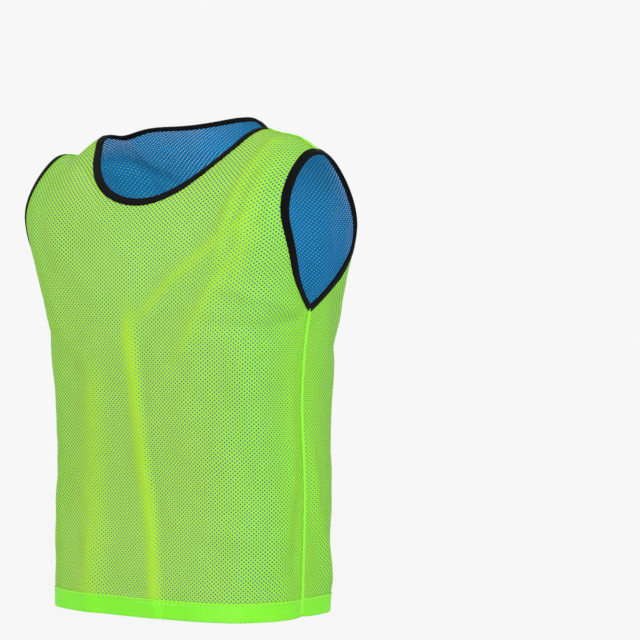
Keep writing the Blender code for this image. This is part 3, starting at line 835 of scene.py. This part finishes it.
# tape folded over the cloth's edge: inset from the fold, and out of the cloth
def bindingProfile():
    wide, outside, inside = cut["bindingWide"], binding["outside"], binding["inside"]
    middle, half = 0.5 * (outside + inside), 0.5 * (outside - inside)
    thick, foldRound, crown = binding["thick"], binding["foldRound"], binding["crown"]
    rows = [(wide, outside - thick), (wide - 0.2 * mm, outside - 0.1 * mm), (wide - 1.2 * mm, outside)]
    rows += [(wide * part, outside + crown * math.sin(math.pi * part)) for part in (0.66, 0.45, 0.28)]
    for angle in np.radians([90, 60, 30, 0, -30, -60, -90]):
        rows.append((foldRound - foldRound * math.cos(angle), middle + half * math.sin(angle)))
    rows += [(wide * part, inside - crown * math.sin(math.pi * part)) for part in (0.28, 0.45, 0.66)]
    rows += [(wide - 1.2 * mm, inside), (wide - 0.2 * mm, inside + 0.1 * mm), (wide, inside + thick)]
    return rows


# uneven little gathers of the tape, a whole number of them round the loop
def bindingPucker(run, length, inset, seed):
    turn = 2 * np.pi * run / length
    wave = np.sin(61 * turn + 1.7 * np.sin(3 * turn + seed)) * (0.6 + 0.4 * np.sin(7 * turn + seed))
    wave = wave + 0.5 * np.sin(97 * turn + 2.0 * np.sin(5 * turn))
    return wave * binding["puff"] * (0.35 + 0.65 * inset / cut["bindingWide"])


def easeLoop(rings, passes=3):
    for _ in range(passes):
        rings = 0.25 * np.roll(rings, 1, 0) + 0.5 * rings + 0.25 * np.roll(rings, -1, 0)
    return rings


def bindingLoop(name, node, edge, first, second, hand, seed):
    # along the front from first to second, and back along the back
    count = binding["stations"] // 2
    sides = [("front", np.linspace(first, second, count, endpoint=False)),
             ("back", np.linspace(second, first, count, endpoint=False))]
    columns, centre = [], []
    for side, way in sides:
        across, up = edge(way, 0.0, side)
        centre.append(clothPoints(across * hand, up, side, np.zeros(len(across))))
    centre = np.concatenate(centre)
    run = runAlong(centre)
    length = run[-1] + np.linalg.norm(centre[0] - centre[-1])
    for inset, out in bindingProfile():
        ring, done = [], 0
        for side, way in sides:
            across, up = edge(way, inset, side)
            mine = bindingPucker(run[done:done + len(way)], length, inset, seed)
            done += len(way)
            sign = 1.0 if out > binding["middle"] else -1.0
            ring.append(clothPoints(across * hand, up, side, out + 0.5 * sign * mine))
        columns.append(np.concatenate(ring))
    # the two halves meet at the shoulder and the side seam, so they are eased together
    rings = easeLoop(np.stack(columns, axis=1))
    count, around = rings.shape[:2]
    faces = tubeFaces(count, around, closed=True)
    if hand < 0:
        faces = [face[::-1] for face in faces]
    uv = np.stack([np.repeat(run, around) / length * 4, np.tile(np.arange(around) / around, count)], -1)
    thing = newPiece(name, rings.reshape(-1, 3), faces, blackTape, uv)
    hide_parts(node)
    return rings


def neckPlaces(way, inset, side):
    across, down = neckEdge(way, inset, side)
    return across, clothHeight(across, side) - down


bindingRows = [
    {"name": "neckBinding", "node": "neck_binding", "edge": neckPlaces,
     "first": -0.5 * math.pi, "second": 0.5 * math.pi, "hand": 1.0, "seed": 0.5},
    {"name": "leftArmholeBinding", "node": "left_armhole_binding", "edge": armholeEdge,
     "first": 0.0, "second": 1.0, "hand": 1.0, "seed": 1.9},
    {"name": "rightArmholeBinding", "node": "right_armhole_binding", "edge": armholeEdge,
     "first": 0.0, "second": 1.0, "hand": -1.0, "seed": 3.2},
]
bindingStitch = {"pitch": 3.0 * mm, "long": 2.3 * mm, "thick": 0.22 * mm, "lift": 0.16 * mm,
                 "low": 0.06 * mm, "aside": 0.0}
for row in bindingRows:
    rings = bindingLoop(**row)
    closedRings = np.concatenate([rings, rings[:1]])
    for face, near, wide, label in ((2, 1, 3, "Outside"), (14, 15, 13, "Inside")):
        line = closedRings[:, face]
        way = unit(closedRings[:, near] - closedRings[:, wide])
        ahead = np.roll(rings[:, face], -1, 0) - np.roll(rings[:, face], 1, 0)
        ahead = np.concatenate([ahead, ahead[:1]])
        normal = unit(np.cross(ahead, way))
        inner = closedRings.mean(axis=1) - line
        normal = normal * np.where((normal * inner).sum(1, keepdims=True) > 0, -1, 1)
        thing = stitches(row["name"] + "Stitch" + label, line, normal, way, bindingStitch, blackThread)
print("bindings made")


# seams at the sides and shoulders, outside and inside
seam = {"wide": 6.4 * mm, "tall": 1.5 * mm, "out": 0.15 * mm, "stations": 240, "endGap": 6 * mm,
        "insideOut": -2.3 * mm, "insideWide": 5.5 * mm, "insideTall": 1.3 * mm,
        "stitchAside": 1.5 * mm}
tapeMap = 3.0   # turns of the tape's map in a metre


# places, normals and ways across along a side or shoulder seam
def seamLine(kind, hand, out):
    if kind == "side":
        up = np.linspace(hemTop * 0.2, cut["armpitUp"] - seam["endGap"], seam["stations"])
        across = np.full(len(up), cut["halfPanel"]) * hand
    else:
        first, last = cut["neckHalf"] + seam["endGap"], cut["shoulderTip"] - seam["endGap"]
        across = np.linspace(first, last, 90) * hand
        up = clothHeight(across, "front")
    front = clothPoints(across, up, "front", np.full(len(up), out))
    normal = clothPoints(across, up, "front", np.full(len(up), out + 1 * mm)) - front
    upBack = up if kind == "side" else clothHeight(across, "back")
    back = clothPoints(across, upBack, "back", np.full(len(up), out))
    normal = normal + clothPoints(across, upBack, "back", np.full(len(up), out + 1 * mm)) - back
    normal = unit(normal)
    line = 0.5 * (front + back)
    return line, normal, unit(np.cross(normal, np.gradient(line, axis=0)))


def seamStrip(name, kind, hand, out, wide, tall, material):
    line, normal, way = seamLine(kind, hand, out)
    run = runAlong(line)
    swell = 0.14 * mm * np.sin(run / (2.9 * mm) + 1.4 * np.sin(run / (31 * mm)))
    line = line + normal * swell[:, None] + way * (0.5 * mm * np.sin(run / (57 * mm)))[:, None]
    profile = roundProfile(wide, tall, -0.5 * tall)
    strip(name, line, normal, way, profile, material, tapeMap)
    return line, normal, way


seamStitch = {"pitch": 2.6 * mm, "long": 2.0 * mm, "thick": 0.2 * mm, "lift": 0.15 * mm,
              "low": 0.42 * mm, "aside": 0.0}
for hand, label in ((1.0, "left"), (-1.0, "right")):
    for kind, word in (("side", "Side"), ("shoulder", "Shoulder")):
        name = label + word
        line, normal, way = seamStrip(name + "Seam", kind, hand, seam["out"],
                                      seam["wide"], seam["tall"], greenSeam)
        for face, aside in (("Back", -seam["stitchAside"]), ("Front", seam["stitchAside"])):
            look = dict(seamStitch, aside=aside)
            thing = stitches(name + "Stitch" + face, line, normal, way, look, greenSeam)
        seamStrip(name + "SeamInside", kind, hand, seam["insideOut"],
                  seam["insideWide"], seam["insideTall"], blueSeam)
print("seams made")


# the hem's sewn edge: a raised green line and its stitches
hemEdge = {"wide": 2.6 * mm, "tall": 0.9 * mm, "up": hemTop + 0.2 * mm, "out": 0.25 * mm,
           "stations": 560}
for side in ("front", "back"):
    across = np.linspace(-cut["halfPanel"], cut["halfPanel"], hemEdge["stations"])
    up = np.full(len(across), hemEdge["up"])
    low = clothPoints(across, up, side, np.full(len(up), hemEdge["out"]))
    normal = unit(clothPoints(across, up, side, np.full(len(up), hemEdge["out"] + 1 * mm)) - low)
    way = unit(np.cross(np.gradient(low, axis=0), normal))
    swell = 0.12 * mm * np.sin(across / (2.4 * mm) + 1.2 * np.sin(across / (27 * mm)))
    line = low + normal * swell[:, None]
    profile = roundProfile(hemEdge["wide"], hemEdge["tall"], -0.5 * hemEdge["tall"], 12)
    strip(side + "HemEdge", line, normal, way, profile, greenSeam, tapeMap)
    stitches(side + "HemStitch", line, normal, way, seamStitch, greenSeam)
print("hem edges made")


# floor, light and camera
stage = {"low": -1.35, "half": 9.0, "grey": 0.3, "glow": 0.64, "room": 0.93}
pale = bpy.data.materials.new("paleStage")
pale.use_nodes = True
paleShader = pale.node_tree.nodes["Principled BSDF"]
paleShader.inputs["Base Color"].default_value = (stage["grey"], stage["grey"], stage["grey"], 1)
paleShader.inputs["Roughness"].default_value = 1.0
paleShader.inputs["Specular IOR Level"].default_value = 0.0
paleShader.inputs["Emission Color"].default_value = (1, 1, 1, 1)
paleShader.inputs["Emission Strength"].default_value = stage["glow"]
floorMesh = bpy.data.meshes.new("paleFloor")
half = stage["half"]
floorMesh.from_pydata([(-half, -half, 0), (half, -half, 0), (half, half, 0), (-half, half, 0)],
                      [], [(0, 1, 2, 3)])
floorMesh.materials.append(pale)
floor = bpy.data.objects.new("paleFloor", floorMesh)
floor.location = (0, 0, stage["low"])
bpy.context.scene.collection.objects.link(floor)

world = bpy.data.worlds.new("softRoom")
bpy.context.scene.world = world
world.use_nodes = True
world.node_tree.nodes["Background"].inputs["Color"].default_value = (1, 1, 1, 1)
world.node_tree.nodes["Background"].inputs["Strength"].default_value = stage["room"]


bodyMiddle = Vector((0, 0, -0.32))


def standOff(name, data, look):  # sets a lamp or the camera away from the bib, turned towards it
    a, e = math.radians(look["azimuth"]), math.radians(look["elevation"])
    away = Vector((math.sin(a) * math.cos(e), -math.cos(a) * math.cos(e), math.sin(e)))
    thing = bpy.data.objects.new(name, data)
    thing.location = bodyMiddle + away * look["distance"]
    thing.rotation_euler = away.to_track_quat("Z", "Y").to_euler()
    bpy.context.scene.collection.objects.link(thing)
    return thing


softLights = {
    "keyLight": {"azimuth": 46, "elevation": 21, "distance": 2.6, "size": 0.8, "power": 27},
    "rimLight": {"azimuth": -75, "elevation": 12, "distance": 2.6, "size": 0.8, "power": 7},
}
for name, look in softLights.items():
    data = bpy.data.lights.new(name, "AREA")
    data.shape = "DISK"
    data.size = look["size"]
    data.energy = look["power"]
    standOff(name, data, look)

# a small soft lamp in the hollow lights the blue inside
inner = {"power": 0.5, "size": 0.06, "place": (0.03, -0.035, -0.17)}
innerLight = bpy.data.lights.new("innerLight", "POINT")
innerLight.energy = inner["power"]
innerLight.shadow_soft_size = inner["size"]
innerLamp = bpy.data.objects.new("innerLight", innerLight)
innerLamp.location = inner["place"]
innerLamp.visible_camera = False
bpy.context.scene.collection.objects.link(innerLamp)

camera = {"azimuth": 37.0, "elevation": 1.15, "distance": 3.086,
          "focal": 2285.0, "frame": 640.0, "middle": (186.8, 371.2)}   # the last three in pixels
eyeData = bpy.data.cameras.new("camera")
eyeData.sensor_width = 36
eyeData.lens = camera["focal"] / camera["frame"] * 36
eyeData.shift_x = (0.5 * camera["frame"] - camera["middle"][0]) / camera["frame"]
eyeData.shift_y = (camera["middle"][1] - 0.5 * camera["frame"]) / camera["frame"]
bpy.context.scene.camera = standOff("camera", eyeData, camera)
bpy.context.scene.view_settings.view_transform = "Standard"
bpy.context.scene.cycles.denoising_prefilter = "NONE"   # keeps the small holes sharp
